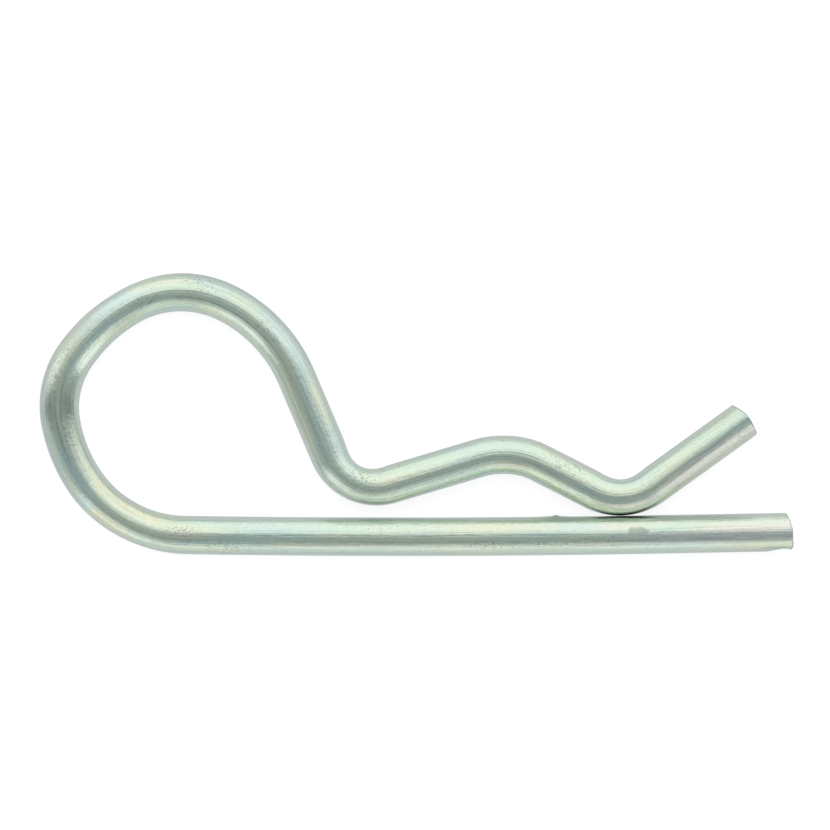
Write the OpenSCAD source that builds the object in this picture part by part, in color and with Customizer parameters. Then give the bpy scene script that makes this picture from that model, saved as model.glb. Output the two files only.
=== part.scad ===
// R-shaped retaining clip for a hitch pin or shaft: one length of round spring wire, bent flat and
// sheared off at both ends. The straight leg goes through a cross hole in the shaft, and the sprung
// leg snaps over the outside of it.
// The clip lies in the XY plane, half a wire above and half below it. X runs along the straight leg
// towards its free end and Y towards the sprung leg. The origin is where the axis of the shaft
// crosses the axis of the straight leg.

/* [Wire] */
// Diameter of the spring wire
wire_d = 4; // [3.4:0.1:4.6]

/* [Straight leg] */
// Straight length at the free end
tip_len = 13.4; // [11:0.1:18]
// Length of the slight bow between the free end and the eye
bow_len = 50; // [46:0.5:54]
// Angle that the leg turns through along its bow
bow_angle = 2; // [1:0.5:4]

/* [Eye] */
// Centreline radius where the leg turns up into the eye
heel_r = 12.8; // [11.5:0.1:14]
// Angle of the heel
heel_angle = 56.18; // [52:0.01:61]
// Centreline radius of the flatter stretch below the back of the eye
lower_back_r = 16.7; // [14:0.1:20]
// Angle of the lower back
lower_back_angle = 21.77; // [18:0.01:25]
// Centreline radius of the back of the eye
back_r = 9.1; // [8:0.1:10.5]
// Angle of the back
back_angle = 47.03; // [42:0.01:52]
// Centreline radius of the flatter stretch above the back
shoulder_r = 18; // [15:0.1:21]
// Angle of the shoulder
shoulder_angle = 24.67; // [20:0.01:28]
// Centreline radius over the top of the eye
crown_r = 10.7; // [9.5:0.1:12]
// Angle of the crown
crown_angle = 55.87; // [51:0.01:61]
// Centreline radius where the eye comes down to the neck
front_r = 15.3; // [13:0.1:18]

/* [Sprung leg] */
// Slope of the neck, down towards the straight leg
neck_angle = 68.02; // [62:0.01:74]
// Clear height between the inner valley and the straight leg
neck_gap = 1.25; // [0.5:0.05:2.5]
// Centreline radius of the inner valley, next to the eye
inner_valley_r = 5.3; // [4.6:0.1:7]
// Slope of the rise from the inner valley to the hump
rise_angle = 15.51; // [12:0.01:22]
// Diameter of the shaft that the hump is bent to
shaft_d = 12.2; // [11:0.1:13.4]
// Height of that shaft's axis above the straight leg's axis while the clip is relaxed
shaft_lift = 0.5; // [0:0.05:1.2]
// Slope of the fall from the hump to the outer valley
fall_angle = 28.14; // [22:0.01:34]
// Centreline radius of the outer valley, which rests on the straight leg
outer_valley_r = 6.2; // [5:0.1:7.5]
// Gap where the outer valley rests on the straight leg
touch_gap = 0.05; // [0.02:0.01:0.5]
// Slope of the tab that guides the shaft in
tab_angle = 34.67; // [28:0.01:42]
// Length of the tab to the farthest point of its cut end
tab_len = 12.1; // [8:0.1:16]

/* [Cut ends] */
// Rake of the face where the cutter went in
cut_rake = 24; // [10:1:32]
// Depth that the cutter went in before the wire broke off
cut_depth = 1.5; // [0.8:0.1:2]
// Rake of the broken face at the tab's end
tab_break = 7; // [0:1:14]
// Rake of the broken face at the straight leg's end
leg_break = 1; // [0:1:14]
// Length over which the cutter pinched the wire beside the break
pinch_len = 4; // [2:0.1:6]
// Distance from the end to the deepest point of the pinch
pinch_back = 1; // [0.5:0.1:2]
// Depth of the pinch at the tab's end
tab_pinch = 0.1; // [0.05:0.01:0.3]
// Depth of the pinch at the straight leg's end
leg_pinch = 0.25; // [0.05:0.01:0.35]

/* [Hidden] */
$fn = 96;
wire_r = wire_d / 2;
bend_spare = 1;
zinc = [0.77, 0.83, 0.79];

// The wire's route is followed from the inner end of the straight length, along the leg, round the
// eye and out to the tab. A heading is an angle from +X, and a bend to the right is positive.
function ahead(heading) = [cos(heading), sin(heading)];
function left_of(heading) = [-sin(heading), cos(heading)];
function after_bend(place, heading, radius, angle) =
    place + sign(angle) * radius * (left_of(heading - angle) - left_of(heading));
function after_bends(place, heading, bends, i = 0) =
    i == len(bends) ? place
    : after_bends(
        after_bend(place, heading, bends[i][0], bends[i][1]),
        heading - bends[i][1],
        bends,
        i + 1
    );

// Bow of the straight leg
bow_r = bow_len * 180 / (PI * bow_angle);
bow_centre = [0, bow_r];
bow_end = after_bend([0, 0], 180, bow_r, bow_angle);

// Bends of the eye, each with its radius and angle; the front takes up the rest of the turn
front_angle = 180 - bow_angle + neck_angle
    - heel_angle - lower_back_angle - back_angle - shoulder_angle - crown_angle;
eye_bends = [
    [heel_r, heel_angle],
    [lower_back_r, lower_back_angle],
    [back_r, back_angle],
    [shoulder_r, shoulder_angle],
    [crown_r, crown_angle],
    [front_r, front_angle],
];
eye_end = after_bends(bow_end, 180 - bow_angle, eye_bends);

// Straight run from a place after which a bend to the left stays clear of the bowed leg by a gap
function run_to_leg(place, heading, radius, gap) =
    let (
        start = place + radius * left_of(heading) - bow_centre,
        reach = bow_r - radius - wire_d - gap,
        along = start * ahead(heading)
    )
    sqrt(along * along - start * start + reach * reach) - along;

// Inner valley, set by its clear height over the leg
neck_len = run_to_leg(eye_end, -neck_angle, inner_valley_r, neck_gap);
neck_end = eye_end + neck_len * ahead(-neck_angle);
inner_valley_end = after_bend(neck_end, -neck_angle, inner_valley_r, -neck_angle - rise_angle);

// Hump, set by the shaft's size and height
hump_r = shaft_d / 2 + wire_r;
rise_len = (shaft_lift + hump_r * cos(rise_angle) - inner_valley_end[1]) / sin(rise_angle);
rise_end = inner_valley_end + rise_len * ahead(rise_angle);
hump_centre = rise_end - hump_r * left_of(rise_angle);
hump_end = after_bend(rise_end, rise_angle, hump_r, rise_angle + fall_angle);

// Outer valley, set by its seat on the leg
fall_len = run_to_leg(hump_end, -fall_angle, outer_valley_r, touch_gap);

// Straight wire along +X, with what follows at its far end
module run(length) {
    rotate([0, 90, 0])
        cylinder(h = length, d = wire_d);
    translate([length, 0, 0])
        children();
}

// Bent wire that sets off along +X, with what follows at its far end. A little too much is bent, and
// it is cut off square where the next length starts
module bend(radius, angle) {
    side = sign(angle);
    spare_angle = bend_spare * 180 / (PI * radius);
    translate([0, -side * radius, 0]) {
        difference() {
            mirror([0, side > 0 ? 1 : 0, 0])
                rotate([0, 0, -90])
                    rotate_extrude(angle = abs(angle) + spare_angle)
                        translate([radius, 0])
                            rotate(-90)
                                circle(d = wire_d);
            rotate([0, 0, -angle])
                translate([0, side * radius - wire_d, -wire_d])
                    cube(2 * wire_d);
        }
        rotate([0, 0, -angle])
            translate([0, side * radius, 0])
                children();
    }
}

// One bend after another, with what follows at the far end of the last
module bend_all(bends, i = 0) {
    if (i < len(bends))
        bend(bends[i][0], bends[i][1])
            bend_all(bends, i + 1)
                children();
    else
        children();
}

// Straight wire along +X up to a sheared end: the cutter came in from +Y and left a raked face, the
// rest broke off, and the far side is pinched in
module cut_run(length, break_rake, pinch) {
    break_y = wire_r - cut_depth;
    entry_x = length - (wire_d - break_y) * tan(cut_rake);
    exit_x = length - (wire_d + break_y) * tan(break_rake);
    pinch_r = pinch_len * pinch_len / (8 * pinch) + pinch / 2;
    difference() {
        intersection() {
            rotate([0, 90, 0])
                cylinder(h = length, d = wire_d);
            linear_extrude(height = 2 * wire_d, center = true)
                polygon([
                    [-wire_r, -wire_d],
                    [exit_x, -wire_d],
                    [length, break_y],
                    [entry_x, wire_d],
                    [-wire_r, wire_d],
                ]);
        }
        translate([length - pinch_back, pinch - wire_r - pinch_r, 0])
            cylinder(h = 2 * wire_d, r = pinch_r, center = true);
    }
}

// The bent part of the sprung leg, from the neck to the tab
module sprung_leg() {
    run(neck_len)
        bend(inner_valley_r, -neck_angle - rise_angle)
            run(rise_len)
                bend(hump_r, rise_angle + fall_angle)
                    run(fall_len)
                        bend(outer_valley_r, -fall_angle - tab_angle)
                            cut_run(tab_len, tab_break, tab_pinch);
}

module r_clip() {
    color(zinc)
        translate([-hump_centre[0], 0, 0]) {
            cut_run(tip_len, leg_break, leg_pinch);
            rotate([0, 0, 180])
                bend(bow_r, bow_angle)
                    bend_all(eye_bends)
                        sprung_leg();
        }
}

r_clip();
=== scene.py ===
import math

import bmesh
import bpy
import numpy as np
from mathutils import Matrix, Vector


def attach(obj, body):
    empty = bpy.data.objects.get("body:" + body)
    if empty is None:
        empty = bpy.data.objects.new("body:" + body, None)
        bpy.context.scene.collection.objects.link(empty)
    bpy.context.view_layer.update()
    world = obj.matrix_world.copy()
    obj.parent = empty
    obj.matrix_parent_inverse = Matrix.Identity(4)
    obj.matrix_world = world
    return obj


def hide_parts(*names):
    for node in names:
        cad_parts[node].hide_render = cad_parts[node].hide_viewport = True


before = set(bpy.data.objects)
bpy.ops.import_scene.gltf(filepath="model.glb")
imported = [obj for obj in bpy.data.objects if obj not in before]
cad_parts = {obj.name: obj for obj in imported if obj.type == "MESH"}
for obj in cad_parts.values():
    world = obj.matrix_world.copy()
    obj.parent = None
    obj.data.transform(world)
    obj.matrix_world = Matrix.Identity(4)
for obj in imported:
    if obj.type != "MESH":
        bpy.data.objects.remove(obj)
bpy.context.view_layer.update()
MM = 0.001

# Camera: the clip lies flat and is seen from straight above, turned by about a degree in the
# picture. The scale holds at the height of the wire's axis.
picture_width = 830
pixels_per_mm = 9.6
view_centre = Vector((-8.735, 12.911, 0)) * MM
view_width = picture_width / pixels_per_mm * MM
view_height = 0.55
view_turn = math.radians(1.078)
camera_data = bpy.data.cameras.new("camera")
camera_data.sensor_width = 36
camera_data.lens = camera_data.sensor_width * view_height / view_width
camera = bpy.data.objects.new("camera", camera_data)
camera.location = view_centre + Vector((0, 0, view_height))
camera.rotation_euler = (0, 0, -view_turn)
bpy.context.scene.collection.objects.link(camera)
bpy.context.scene.camera = camera

# The wire: one length of round spring steel, drawn, bent cold on pegs, sheared off at both ends and
# then zinc plated with a clear, slightly iridescent passivation. Distances run from the end of the
# straight leg, along the wire and out to the end of the tab, in millimetres.
wire_r = 2.0
leg_straight = 13.4
bow_len = 50
bow_angle = 2
bow_r = bow_len / math.radians(bow_angle)
eye_bends = [
    (12.8, 56.18),
    (16.7, 21.77),
    (9.1, 47.03),
    (18.0, 24.67),
    (10.7, 55.87),
    (15.3, 40.5),
]
neck_angle = 68.02
neck_gap = 1.25
inner_valley_r = 5.3
rise_angle = 15.51
shaft_d = 12.2
shaft_lift = 0.5
hump_r = shaft_d / 2 + wire_r
hump_flat = 0.42
fall_angle = 28.14
touch_gap = 0.02
outer_valley_r = 6.0
tab_angle = 34.67
tab_len = 12.25


class Route:
    """The wire's centreline: straight runs and bends, each with where and how it starts."""

    def __init__(self, place, heading):
        self.place = np.array(place, float)
        self.heading = heading
        self.length = 0.0
        self.pieces = []

    def ahead(self, heading):
        return np.array([math.cos(math.radians(heading)), math.sin(math.radians(heading))])

    def left_of(self, heading):
        return self.ahead(heading + 90)

    def run(self, length):
        self.pieces.append((self.length, length, self.place, self.heading, 0.0))
        self.place = self.place + length * self.ahead(self.heading)
        self.length += length

    def bend(self, radius, angle):
        """A bend; its angle is in degrees, and to the right it is positive."""
        length = radius * abs(math.radians(angle))
        turn = -math.radians(angle) / length
        self.pieces.append((self.length, length, self.place, self.heading, turn))
        side = math.copysign(radius, angle)
        self.place = self.place + side * (
            self.left_of(self.heading - angle) - self.left_of(self.heading)
        )
        self.heading -= angle
        self.length += length

    def run_to_leg(self, radius, gap, bow_centre):
        """A straight run after which a bend to the left clears the bowed leg by a gap."""
        start = self.place + radius * self.left_of(self.heading) - bow_centre
        reach = bow_r - radius - 2 * wire_r - gap
        along = start @ self.ahead(self.heading)
        self.run(math.sqrt(along * along - start @ start + reach * reach) - along)

    def at(self, s):
        """Place and left-hand direction at distances along the wire."""
        place = np.empty((s.size, 2))
        heading = np.empty(s.size)
        flat = s.ravel()
        for i, (start, length, begin, begin_heading, turn) in enumerate(self.pieces):
            low = -math.inf if i == 0 else start
            high = math.inf if i == len(self.pieces) - 1 else start + length
            here = (flat >= low) & (flat < high)
            t = flat[here] - start
            h0 = math.radians(begin_heading)
            h = h0 + turn * t
            if turn:
                place[here, 0] = begin[0] + (np.sin(h) - math.sin(h0)) / turn
                place[here, 1] = begin[1] - (np.cos(h) - math.cos(h0)) / turn
            else:
                place[here, 0] = begin[0] + t * math.cos(h0)
                place[here, 1] = begin[1] + t * math.sin(h0)
            heading[here] = h
        left = np.stack([-np.sin(heading), np.cos(heading)], -1)
        return place.reshape(*s.shape, 2), left.reshape(*s.shape, 2)


route = Route((leg_straight, 0), 180)
route.run(leg_straight)
bow_centre = np.array([0, bow_r])
route.bend(bow_r, bow_angle)
for radius, angle in eye_bends:
    route.bend(radius, angle)
route.run_to_leg(inner_valley_r, neck_gap, bow_centre)
route.bend(inner_valley_r, -neck_angle - rise_angle)
hump_lift = shaft_lift + hump_r * math.cos(math.radians(rise_angle))
route.run((hump_lift - route.place[1]) / math.sin(math.radians(rise_angle)))
shaft_x = (route.place - hump_r * route.left_of(rise_angle))[0]
route.bend(hump_r, rise_angle)
route.run(hump_flat)
route.bend(hump_r, fall_angle)
route.run_to_leg(outer_valley_r, touch_gap, bow_centre)
route.bend(outer_valley_r, -fall_angle - tab_angle)
route.run(tab_len)
wire_len = route.length


def smooth(x, low, high):
    """0 below low, 1 above high and a soft step between."""
    t = np.clip((x - low) / (high - low), 0, 1)
    return t * t * (3 - 2 * t)


def swell(x, middle, reach):
    """1 at the middle, falling softly to 0 at reach to either side."""
    return 1 - smooth(np.abs(x - middle), 0, reach)


def grit(a, b, size, seed):
    """Fixed waviness of about -1 to 1 over two directions: waves ever finer and fainter."""
    total = np.zeros(np.broadcast(a, b).shape)
    spread = np.random.default_rng(seed)
    for octave in range(5):
        for _ in range(3):
            way = spread.uniform(0, 2 * math.pi)
            start = spread.uniform(0, 2 * math.pi)
            pitch = 2 * math.pi / size * 1.7**octave
            wave = np.sin(pitch * (a * math.cos(way) + b * math.sin(way)) + start)
            total = total + wave / 1.6**octave
    return total / 4


def cut_face(face, torn, z, rough):
    """A cut end whose torn part is uneven and whose shear mark is rounded off a little."""
    torn_depth = 0.05
    rounding = 0.03
    return face - torn_depth * torn * (1 + rough) - rounding * z * z * (1 - torn)


def leg_end(v, z):
    """How far the leg's cut end stands out: a raked cut on the tab's side, then the torn rest."""
    face = np.interp(
        v,
        [-2.0, -1.85, -1.14, -0.5, 0.2, 1.04, 1.39, 1.87, 2.0],
        [-0.7, -0.62, -0.25, -0.1, -0.07, -0.05, 0.0, -0.06, -0.1],
    )
    return cut_face(face, smooth(v, -0.7, -0.3), z, grit(v, z, 1.1, 3))


def tab_end(v, z):
    """How far the tab's cut end stands out, measured from the end of its length."""
    face = np.interp(
        v,
        [-2.0, -1.85, -0.6, 0.41, 1.1, 1.92, 2.0],
        [-0.45, -0.24, -0.1, 0.0, -0.22, -0.6, -0.64],
    )
    return cut_face(face, 1 - smooth(v, 0.2, 0.6), z, grit(v, z, 1.0, 8))


# The wire's skin is a row of rings: out over the leg's cut face, along the wire and in over the
# tab's. Each has where its points lie along, across and up, and how far it is from the cut's edge.
columns = 72
round_about = np.arange(columns) * 2 * math.pi / columns
rim_v = wire_r * np.cos(round_about)
rim_z = wire_r * np.sin(round_about)
leg_rim = leg_end(rim_v, rim_z)
tab_rim = tab_end(rim_v, rim_z)
leg_rings = []
tab_rings = []
for share in [0.0, 0.12, 0.25, 0.38, 0.5, 0.61, 0.71, 0.8, 0.87, 0.925, 0.965]:
    v = share * rim_v
    z = share * rim_z
    inside = (share - 1) * wire_r
    leg_rings.append((-leg_end(v, z), v, z, inside))
    tab_rings.append((wire_len + tab_end(v, z), v, z, inside))
for share, back in [(0.988, 0.012), (0.998, 0.045), (1.0, 0.11)]:
    leg_rings.append((back - leg_rim, share * rim_v, share * rim_z, back))
    tab_rings.append((wire_len - back + tab_rim, share * rim_v, share * rim_z, back))
close_zone = 3.4
end_reach = 3.2
close_steps = np.arange(0.2, close_zone, 0.1)
wide_steps = np.linspace(close_zone, wire_len - close_zone, 620)
body_rings = []
for s in np.concatenate([close_steps, wide_steps, wire_len - close_steps[::-1]]):
    near_leg = 1 - smooth(s, 0, end_reach)
    near_tab = 1 - smooth(wire_len - s, 0, end_reach)
    raked = s - near_leg * leg_rim + near_tab * tab_rim
    body_rings.append((raked, rim_v, rim_z, min(s, wire_len - s)))
rings = leg_rings + body_rings + tab_rings[::-1]
along = np.array([ring[0] for ring in rings])
across = np.array([ring[1] for ring in rings])
up = np.array([ring[2] for ring in rings])
from_edge = [ring[3] for ring in rings]

# Where it was pressed: the pegs flattened the wire inside the valleys, dented it a little on the
# outside of the eye and spread it inside the eye's back. The cutter's bed pinched the leg beside
# the break and left a lip along its foot.
left_press = np.zeros_like(along)
for middle, reach, depth in [
    (68.5, 7.0, 0.09),
    (98.5, 6.0, 0.09),
    (131.2, 5.0, 0.31),
    (161.0, 4.0, 0.22),
]:
    left_press += depth * swell(along, middle, reach)
right_spread = 0.14 * swell(along, 87.0, 10.0)
left_share = np.clip(across / wire_r, 0, 1)
right_share = np.clip(-across / wire_r, 0, 1)
across = across - left_press * left_share**3 - right_spread * right_share**3
crease = np.interp(along, [0.0, 1.3, 2.3, 3.2], [1.5, 1.68, 1.9, 2.1])
foot = np.interp(along, [0.0, 0.5, 0.9, 1.4, 2.3, 3.2], [1.94, 1.82, 1.78, 1.81, 1.95, 2.1])
pinched = crease + (foot - crease) * smooth(1.3 - up, 0, 2.4)
across = np.minimum(across, pinched)

# A drip of zinc that set on the leg's upper edge, between the two valleys: a low bead with a
# sharper tip, left where the plating ran together.
drip_depth = 0.12
drip = np.exp(-(((along - 24.65) / 0.3) ** 2) - ((up - 0.2) / 0.5) ** 2)
drip += 0.7 * np.exp(-(((along - 24.9) / 1.3) ** 2) - ((up - 0.2) / 0.7) ** 2)
across = np.where(across < 0, across - drip_depth * drip, across)

place, left = route.at(along)
ground = place + left * across[..., None]
verts = np.concatenate([ground, up[..., None]], -1)
verts[..., 0] -= shaft_x
faces = []
for this_ring in range(0, (len(rings) - 1) * columns, columns):
    next_ring = this_ring + columns
    for j in range(columns):
        k = (j + 1) % columns
        faces.append((this_ring + j, this_ring + k, next_ring + k, next_ring + j))
wire_mesh = bpy.data.meshes.new("wire")
wire_mesh.from_pydata((verts.reshape(-1, 3) * MM).tolist(), [], faces)
straightened = wire_mesh.attributes.new("straightened", "FLOAT_VECTOR", "POINT")
straight_places = np.stack([along, across, up], -1).astype(np.float32)
straightened.data.foreach_set("vector", straight_places.ravel())
from_cut = wire_mesh.attributes.new("from_cut", "FLOAT", "POINT")
from_cut.data.foreach_set("value", np.repeat(from_edge, columns).astype(np.float32))
bm = bmesh.new()
bm.from_mesh(wire_mesh)
bmesh.ops.remove_doubles(bm, verts=bm.verts, dist=1e-7)
bmesh.ops.recalc_face_normals(bm, faces=bm.faces)
for face in bm.faces:
    face.smooth = True
bm.to_mesh(wire_mesh)
bm.free()
wire = bpy.data.objects.new("wire", wire_mesh)
bpy.context.scene.collection.objects.link(wire)


class Value:
    """A socket of the finish, so that the shader's sums read as sums."""

    def __init__(self, finish, socket):
        self.finish = finish
        self.socket = socket

    def maths(self, operation, other, swapped=False):
        inputs = {0: other, 1: self} if swapped else {0: self, 1: other}
        return self.finish.node("ShaderNodeMath", {"operation": operation}, inputs)

    def __add__(self, other):
        return self.maths("ADD", other)

    def __sub__(self, other):
        return self.maths("SUBTRACT", other)

    def __mul__(self, other):
        return self.maths("MULTIPLY", other)

    def __truediv__(self, other):
        return self.maths("DIVIDE", other)

    def __rsub__(self, other):
        return self.maths("SUBTRACT", other, True)

    def __rtruediv__(self, other):
        return self.maths("DIVIDE", other, True)

    __radd__ = __add__
    __rmul__ = __mul__

    def __pow__(self, other):
        return self.maths("POWER", other)

    def __abs__(self):
        return self.maths("ABSOLUTE", 0.0)

    def most(self, other):
        """The larger of two values."""
        return self.maths("MAXIMUM", other)

    def above(self, low, high):
        """0 below low, 1 above high and a soft step between."""
        return self.finish.node(
            "ShaderNodeMapRange",
            {"interpolation_type": "SMOOTHSTEP"},
            {"Value": self, "From Min": low, "From Max": high},
        )


class Finish:
    """A material's or the world's nodes."""

    def __init__(self, owner):
        owner.use_nodes = True
        self.tree = owner.node_tree
        self.tree.nodes.clear()

    def node(self, kind, settings, inputs, output=0):
        """A node with its settings, then its inputs by name or place; gives one output or more."""
        node = self.tree.nodes.new(kind)
        for name, value in settings.items():
            if name == "stops":
                ramp = node.color_ramp
                while len(ramp.elements) < len(value):
                    ramp.elements.new(0.5)
                for element, (position, colour) in zip(ramp.elements, value):
                    element.position = position
                    element.color = (*colour, 1)
            else:
                setattr(node, name, value)
        for name, value in inputs.items():
            socket = node.inputs[name]
            if isinstance(value, Value):
                self.tree.links.new(value.socket, socket)
            elif socket.type == "RGBA":
                socket.default_value = (*value, 1)
            else:
                socket.default_value = value
        if isinstance(output, tuple):
            return [Value(self, node.outputs[place]) for place in output]
        return Value(self, node.outputs[output]) if node.outputs else None

    def mix(self, factor, a, b):
        """Colour a turning to colour b."""
        return self.node("ShaderNodeMix", {"data_type": "RGBA"}, {0: factor, 6: a, 7: b}, 2)

    def noise(self, at, cells, detail, rough):
        """Noise over the straightened wire, in cells per millimetre along, across and up."""
        scaled = self.node("ShaderNodeVectorMath", {"operation": "MULTIPLY"}, {0: at, 1: cells})
        inputs = {"Vector": scaled, "Scale": 1.0, "Detail": detail, "Roughness": rough}
        return self.node("ShaderNodeTexNoise", {}, inputs)


# The plating: zinc under a clear chromate, a pale green metal with mint, straw, pink and blue
# clouds drawn out along the wire. It was put on after bending, so it lies over every dent. Some of
# the pale mint patches are painted highlights.
zinc = bpy.data.materials.new("zinc_wire")
plate = Finish(zinc)
at = plate.node("ShaderNodeAttribute", {"attribute_name": "straightened"}, {}, 1)
along_wire, across_wire, above_wire = plate.node("ShaderNodeSeparateXYZ", {}, {0: at}, (0, 1, 2))


def patch(s, v, half_length, half_width):
    """A soft-edged oval on the upper side of the wire: 1 in its middle."""
    a = (along_wire - s) / half_length
    b = (across_wire - v) / half_width
    return (1.0 - (a * a + b * b).above(0.0, 2.2)) * above_wire.above(-0.3, 0.0)


cloud_colours = [
    (0.28, (0.66, 0.84, 0.81)),
    (0.40, (0.70, 0.88, 0.76)),
    (0.50, (0.75, 0.89, 0.72)),
    (0.60, (0.81, 0.89, 0.67)),
    (0.72, (0.85, 0.84, 0.75)),
]
clouds = plate.noise(at, (0.10, 0.55, 0.55), 4, 0.6)
tint = plate.node("ShaderNodeValToRGB", {"stops": cloud_colours}, {"Fac": clouds})
lilac = (0.90, 0.88, 0.80)
straw = (0.88, 0.89, 0.65)
ice = (0.68, 0.86, 0.87)
mint_and_highlight = (0.88, 0.99, 0.87)
dull = (0.52, 0.63, 0.56)
pale = (0.78, 0.83, 0.80)
mauve = (0.84, 0.85, 0.83)
# These pale mint patches are painted highlights: the stripes along the leg's upper edge at 14 and
# 42 mm, and the spots in the eye at 86 and 90.6 mm.
for colour, strength, s, v, half_length, half_width in [
    (lilac, 0.9, 3.5, -0.6, 5.5, 0.6),
    (lilac, 0.6, 18.5, -1.0, 2.5, 0.4),
    (ice, 0.6, 23.0, -1.0, 2.5, 0.6),
    (straw, 0.6, 3.5, 1.0, 5.0, 0.7),
    (dull, 0.8, 1.5, 1.6, 1.6, 0.15),
    (mauve, 0.7, 8.0, 0.35, 9.0, 0.6),
    (mint_and_highlight, 0.5, 17.0, 1.05, 10.0, 0.3),
    (mint_and_highlight, 0.8, 14.0, -1.5, 12.0, 0.2),
    (mint_and_highlight, 0.6, 42.0, -1.5, 16.0, 0.2),
    (mint_and_highlight, 0.5, 41.0, 1.1, 14.0, 0.3),
    (straw, 0.5, 32.0, -1.0, 8.0, 0.6),
    (straw, 0.9, 71.3, 1.25, 2.6, 0.5),
    (ice, 0.9, 73.9, 1.2, 0.8, 0.5),
    (straw, 0.8, 71.5, -1.1, 6.0, 0.6),
    (dull, 0.5, 81.0, -0.9, 5.0, 1.0),
    (dull, 0.8, 81.5, 1.75, 6.0, 0.35),
    (mint_and_highlight, 0.6, 86.0, 1.1, 2.5, 0.45),
    (mint_and_highlight, 0.9, 90.6, -1.35, 2.4, 0.35),
    (straw, 0.6, 91.8, 1.2, 2.5, 0.5),
    (ice, 0.7, 96.0, 1.0, 5.0, 0.6),
    (straw, 0.6, 101.0, 1.2, 3.0, 0.5),
    (straw, 0.6, 107.0, -1.5, 1.5, 0.3),
    (mint_and_highlight, 0.9, 111.2, -1.2, 3.2, 0.4),
    (ice, 0.7, 115.0, 1.0, 4.0, 0.7),
    (straw, 0.6, 122.5, 1.1, 2.5, 0.5),
    (pale, 0.6, 129.0, -1.75, 6.0, 0.4),
    (mint_and_highlight, 1.0, 129.5, -1.0, 0.8, 0.45),
    (straw, 0.6, 149.0, -1.0, 4.0, 0.4),
    (straw, 0.6, 161.0, -1.2, 3.0, 0.5),
    (lilac, 0.9, 170.0, -1.0, 7.0, 0.7),
]:
    tint = plate.mix(patch(s, v, half_length, half_width) * strength, tint, colour)
drip_shade = patch(24.2, -1.8, 1.5, 0.3)
tint = plate.mix(drip_shade * 0.6, tint, (0.45, 0.58, 0.55))
speckle = plate.noise(at, (1.2, 2.2, 2.2), 4, 0.6)
tint = plate.mix(speckle.above(0.35, 0.75) * 0.3, tint, (0.80, 0.91, 0.79))
sides = (across_wire * across_wire).above(2.3, 3.9)
tint = plate.mix(sides * 0.6, tint, (0.76, 0.81, 0.78))
satin = plate.noise(at, (2.2, 3.4, 3.4), 3, 0.7)
tint = plate.mix(satin.above(0.5, 0.72) * 0.22, tint, (0.50, 0.58, 0.52))
tint = plate.mix((1.0 - satin.above(0.3, 0.46)) * 0.25, tint, (0.90, 0.97, 0.90))

# Marks of drawing: the die left fine lines along the wire, and a few longer, darker ones that the
# zinc filled here and there, so that they are broken up.
die_lines = plate.noise(at, (0.03, 1.9, 1.9), 5, 0.7)
hairs = plate.noise(at, (0.05, 6.0, 6.0), 3, 0.6)
scratches = plate.noise(at, (0.25, 8.0, 8.0), 2, 0.5)
wobble = (plate.noise(at, (0.12, 0.12, 0.12), 2, 0.5) - 0.5) * 0.25
broken = plate.noise(at, (0.22, 2.0, 2.0), 3, 0.6).above(0.38, 0.58)
mark_half_width = 0.12
die_mark = hairs.above(0.60, 0.68) * 0.4
for s, v, half_length in [
    (13.5, -1.76, 8.5),
    (15.0, 0.52, 13.0),
    (40.0, 0.54, 14.0),
    (41.0, -0.12, 20.0),
    (80.0, 0.75, 6.0),
    (82.0, 0.25, 4.0),
    (84.0, -0.3, 5.0),
    (107.0, -0.5, 10.0),
    (117.0, 0.05, 6.0),
    (151.0, 0.25, 8.0),
    (154.0, -0.36, 6.0),
    (168.0, -0.3, 6.0),
]:
    a = (along_wire - s) / half_length
    b = (across_wire + wobble - v) / mark_half_width
    line = (1.0 - (a * a).above(0.3, 1.2)) * (1.0 - (b * b).above(0.0, 1.6))
    die_mark = die_mark.most(line * broken * above_wire.above(-0.3, 0.0))
dark_lines = die_lines.above(0.55, 0.62) * 0.25 + die_mark * 0.38
tint = plate.mix(dark_lines, tint, (0.36, 0.43, 0.39))

# Marks of bending and handling: a fine orange peel where the metal stretched, small pits where
# pegs and other clips struck it, and one matt spot on the leg where the plating took badly.
worn = patch(64.0, -0.4, 2.0, 0.6)
for s, v, half_length, half_width in [
    (19.8, 0.35, 1.8, 0.35),
    (25.0, 0.75, 4.0, 0.2),
    (31.0, 0.85, 2.4, 0.4),
    (59.2, 1.1, 2.2, 0.6),
    (88.3, 0.9, 1.8, 0.5),
    (99.1, -0.2, 1.6, 0.5),
    (104.9, 1.0, 1.6, 0.6),
    (113.3, 0.1, 2.0, 0.5),
    (131.8, 0.65, 2.0, 0.6),
    (153.8, 1.0, 2.2, 0.6),
    (166.2, -1.3, 0.5, 0.3),
    (175.0, -1.5, 1.6, 0.5),
]:
    worn = worn.most(patch(s, v, half_length, half_width))
grains = plate.noise(at, (3.0, 5.5, 5.5), 3, 0.6)
pits = (grains - 0.635 + worn * 0.11).above(0.0, 0.07)
tint = plate.mix(pits * 0.5, tint, (0.24, 0.29, 0.26))
blot = plate.noise(at, (0.9, 1.6, 1.6), 3, 0.6)
ragged_spot = patch(16.2, -0.4, 0.95, 0.5) + (blot - 0.5) * 1.6 + (speckle - 0.5) * 0.7
spot_bounds = patch(16.2, -0.4, 1.3, 0.7).above(0.0, 0.2)
matt_spot = ragged_spot.above(0.42, 0.72) * spot_bounds
tint = plate.mix(matt_spot * 0.7, tint, (0.52, 0.58, 0.50))
peel = plate.noise(at, (2.6, 2.2, 2.2), 2, 0.5)
bent = along_wire.above(62.0, 68.0) * (1.0 - along_wire.above(163.0, 166.0))
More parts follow.
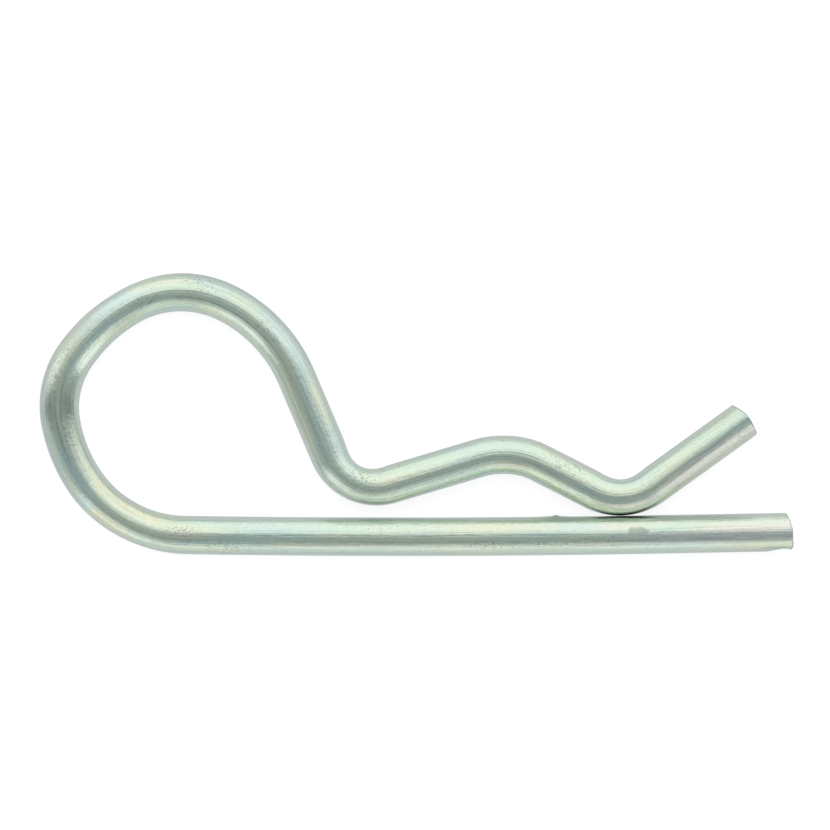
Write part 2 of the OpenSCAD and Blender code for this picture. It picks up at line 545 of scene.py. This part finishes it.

# The cut ends and the contact: torn steel under a thin plate, a dark burr round the edge, and
# near-black painted shade on the leg's and the outer valley's edges where the outer valley rests on
# the leg, with a dark point at the drip's tip.
from_cut_edge = plate.node("ShaderNodeAttribute", {"attribute_name": "from_cut"}, {}, 2)
torn_face = 1.0 - from_cut_edge.above(-0.12, 0.02)
burr = 1.0 - (from_cut_edge + (speckle - 0.5) * 0.5).above(0.04, 0.2)
torn_grain = plate.noise(at, (5.0, 5.0, 5.0), 4, 0.7)
tint = plate.mix(burr * 0.55, tint, (0.36, 0.41, 0.38))
tint = plate.mix(torn_face * 0.6, tint, (0.50, 0.55, 0.52))
# Painted shade: near-black strips on both wires' edges where the outer valley touches the leg.
leg_contact_shade = patch(17.0, -2.02, 3.2, 0.13)
valley_contact_shade = patch(161.2, -2.0, 2.2, 0.11)
drip_tip = patch(24.65, -2.12, 0.2, 0.08)
contact_shade_and_drip_tip = leg_contact_shade.most(valley_contact_shade).most(drip_tip * 0.6)
tint = plate.mix(contact_shade_and_drip_tip * 0.85, tint, (0.10, 0.11, 0.10))

roughness = 0.08 + speckle * 0.1 + scratches * 0.04 + pits * 0.04 + matt_spot * 0.35
roughness = roughness + torn_face * 0.3 + burr * 0.1
height = die_lines * 0.7 + hairs * 0.14 + scratches * 0.08 + speckle * 0.16 - die_mark * 0.08
height = height + satin * 0.12 + peel * bent * 0.2 + torn_grain * torn_face * 1.5
bump = plate.node("ShaderNodeBump", {}, {"Height": height, "Strength": 0.7, "Distance": 0.00012})
metal = plate.node(
    "ShaderNodeBsdfPrincipled",
    {},
    {
        "Base Color": tint,
        "Metallic": 1.0,
        "Roughness": roughness,
        "Coat Weight": 0.8,
        "Coat Roughness": 0.1,
        "Normal": bump,
    },
)
plate.node("ShaderNodeOutputMaterial", {}, {"Surface": metal})
wire_mesh.materials.append(zinc)
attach(wire, "root")
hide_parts("r_clip")

# The floor: a white sheet that the clip lies on. The camera sees it a little over white, so that
# only the shadow close to the wire shows.
half_floor = 1.5
floor_corners = [(-1, -1), (1, -1), (1, 1), (-1, 1)]
floor_mesh = bpy.data.meshes.new("floor")
floor_mesh.from_pydata(
    [(x * half_floor, y * half_floor, 0) for x, y in floor_corners],
    [],
    [(0, 1, 2, 3)],
)
floor = bpy.data.objects.new("floor", floor_mesh)
floor.location = (0, 0, -wire_r * MM)
bpy.context.scene.collection.objects.link(floor)
sheet = bpy.data.materials.new("white_sheet")
paper = Finish(sheet)
matt = paper.node("ShaderNodeBsdfDiffuse", {}, {"Color": (0.28, 0.28, 0.28)})
eye_ray, mirror_ray = paper.node("ShaderNodeLightPath", {}, {}, (0, 3))
glow_colour = paper.mix(mirror_ray, (1.0, 1.0, 1.0), (0.93, 0.97, 1.0))
glow_strength = 0.83 * eye_ray + 0.41 * mirror_ray
glow = paper.node("ShaderNodeEmission", {}, {"Color": glow_colour, "Strength": glow_strength})
lit = paper.node("ShaderNodeAddShader", {}, {0: matt, 1: glow})
paper.node("ShaderNodeOutputMaterial", {}, {"Surface": lit})
floor_mesh.materials.append(sheet)

# The light: a grey tent with a broad white side at the back, white cards low at the front left and
# right, and dark ones between. Places in it are given by the tilt of a mirror on the floor that
# shows them to an eye straight above, to the right and to the back.
world = bpy.data.worlds.new("tent")
bpy.context.scene.world = world
tent = Finish(world)
toward = tent.node("ShaderNodeTexCoord", {}, {}, 0)
sideways, backward, upward = tent.node("ShaderNodeSeparateXYZ", {}, {0: toward}, (0, 1, 2))
over_zero = 0.0001
spread = (2.0 * (1.0 + upward) + over_zero) ** 0.5
right_tilt = sideways / spread
back_tilt = backward / spread


def card(middle, size, turn=0.0):
    """A soft-edged oval card: 1 in its middle."""
    c = math.cos(math.radians(turn))
    s = math.sin(math.radians(turn))
    a = (right_tilt * c + back_tilt * s - (middle[0] * c + middle[1] * s)) / size[0]
    b = (back_tilt * c - right_tilt * s - (middle[1] * c - middle[0] * s)) / size[1]
    return 1.0 - (a * a + b * b).above(0.6, 3.2)


back_wall = back_tilt.above(0.0, 0.25) * (1.0 - 0.3 * abs(right_tilt).above(0.4, 0.8))
dark_back_left = card((-0.36, 0.31), (0.2, 0.06), 139)
white_front_left = card((-0.38, -0.46), (0.15, 0.12), -30)
white_front_right = card((0.45, -0.4), (0.19, 0.09), -44)
white_front = card((0.03, -0.68), (0.32, 0.14))
white_left = card((-0.62, -0.2), (0.12, 0.1))
dark_left = card((-0.42, 0.01), (0.24, 0.07))
dark_right = card((0.45, 0.01), (0.24, 0.06))
dark_front = card((0.0, -0.24), (0.12, 0.14))
white_front_inner = card((0.15, -0.42), (0.1, 0.08))
light = 0.2 + 0.8 * back_wall - 0.26 * dark_back_left
light = light + 0.66 * white_front_left * (1.0 - back_wall) + 0.8 * white_front_right
light = light + 0.62 * white_front + 0.18 * white_left
light = light - 0.17 * dark_left - 0.15 * dark_right - 0.04 * dark_front
light = light + 0.22 * white_front_inner
tent_colours = [
    (0.0, (0.21, 0.24, 0.25)),
    (0.2, (0.36, 0.39, 0.41)),
    (1.0, (1.0, 1.0, 1.0)),
]
walls = tent.node("ShaderNodeValToRGB", {"stops": tent_colours}, {"Fac": light})
background = tent.node("ShaderNodeBackground", {}, {"Color": walls, "Strength": 1.0})
tent.node("ShaderNodeOutputWorld", {}, {"Surface": background})
lamp_data = bpy.data.lights.new("overhead", "SUN")
lamp_data.energy = 0.85
lamp_data.angle = math.radians(50)
lamp = bpy.data.objects.new("overhead", lamp_data)
lamp.rotation_euler = (math.radians(-8), 0, 0)
lamp.visible_glossy = False
bpy.context.scene.collection.objects.link(lamp)

bpy.context.scene.view_settings.view_transform = "Standard"
